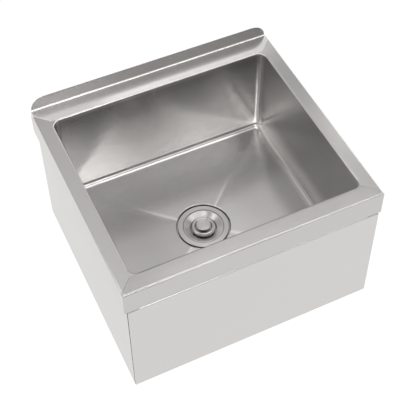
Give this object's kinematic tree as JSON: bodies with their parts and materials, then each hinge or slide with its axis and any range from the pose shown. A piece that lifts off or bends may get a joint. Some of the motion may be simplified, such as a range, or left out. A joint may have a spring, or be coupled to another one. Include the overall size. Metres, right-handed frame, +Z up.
{
  "type": "mop service sink",
  "caption": "Floor-standing stainless mop sink: folded deck with aprons and low upstand, deep coved bowl, skirt panels and a lift-out basket strainer.",
  "frame": {"origin": "on the floor, under the middle of the sink's overall width and depth", "axes": "+X to the sink's right seen from the front, +Y towards the wall, +Z up"},
  "size_m": [0.56, 0.516, 0.366],
  "materials": {
    "stainless": "fine satin grain along each face",
    "turned_stainless": "bright, turned in fine rings",
    "chromed_brass": "bright plated",
    "zinc_plated": "dull zinc grey",
    "black_rubber": "matt black",
    "damping_rubber": "matt dark grey",
    "fibre": "matt red-brown",
    "white_plastic": "satin off-white"
  },
  "bodies": {
    "sink_body": {"deck": "stainless", "bowl": "stainless", "skirt_front": "stainless", "skirt_left": "stainless", "skirt_right": "stainless", "skirt_back": "stainless", "corner_angle_front_left": "stainless", "corner_angle_front_right": "stainless", "corner_angle_back_left": "stainless", "corner_angle_back_right": "stainless", "panel_studs": "stainless", "stud_nuts": "zinc_plated", "damping_pads": "damping_rubber", "strainer_body": "turned_stainless", "flange_gasket": "black_rubber", "under_gasket": "black_rubber", "fibre_washer": "fibre", "lock_nut": "zinc_plated", "outlet_washer": "white_plastic", "tailpiece": "chromed_brass", "coupling_nut": "zinc_plated"},
    "lift_out_basket": {"basket": "turned_stainless", "basket_post": "turned_stainless", "basket_cap": "turned_stainless"},
    "stopper": {"stopper_stem": "chromed_brass", "knob": "turned_stainless", "stopper_disc": "turned_stainless", "stopper_seal": "black_rubber", "stem_clip": "zinc_plated"}
  },
  "joints": [
    {"name": "basket_lift", "type": "slide", "parent": "sink_body", "child": "lift_out_basket", "axis": [0, 0, 1], "range_m": [0, 0.32]},
    {"name": "stopper_push", "type": "slide", "parent": "lift_out_basket", "child": "stopper", "axis": [0, 0, 1], "range_m": [-0.007, 0]}
  ]
}
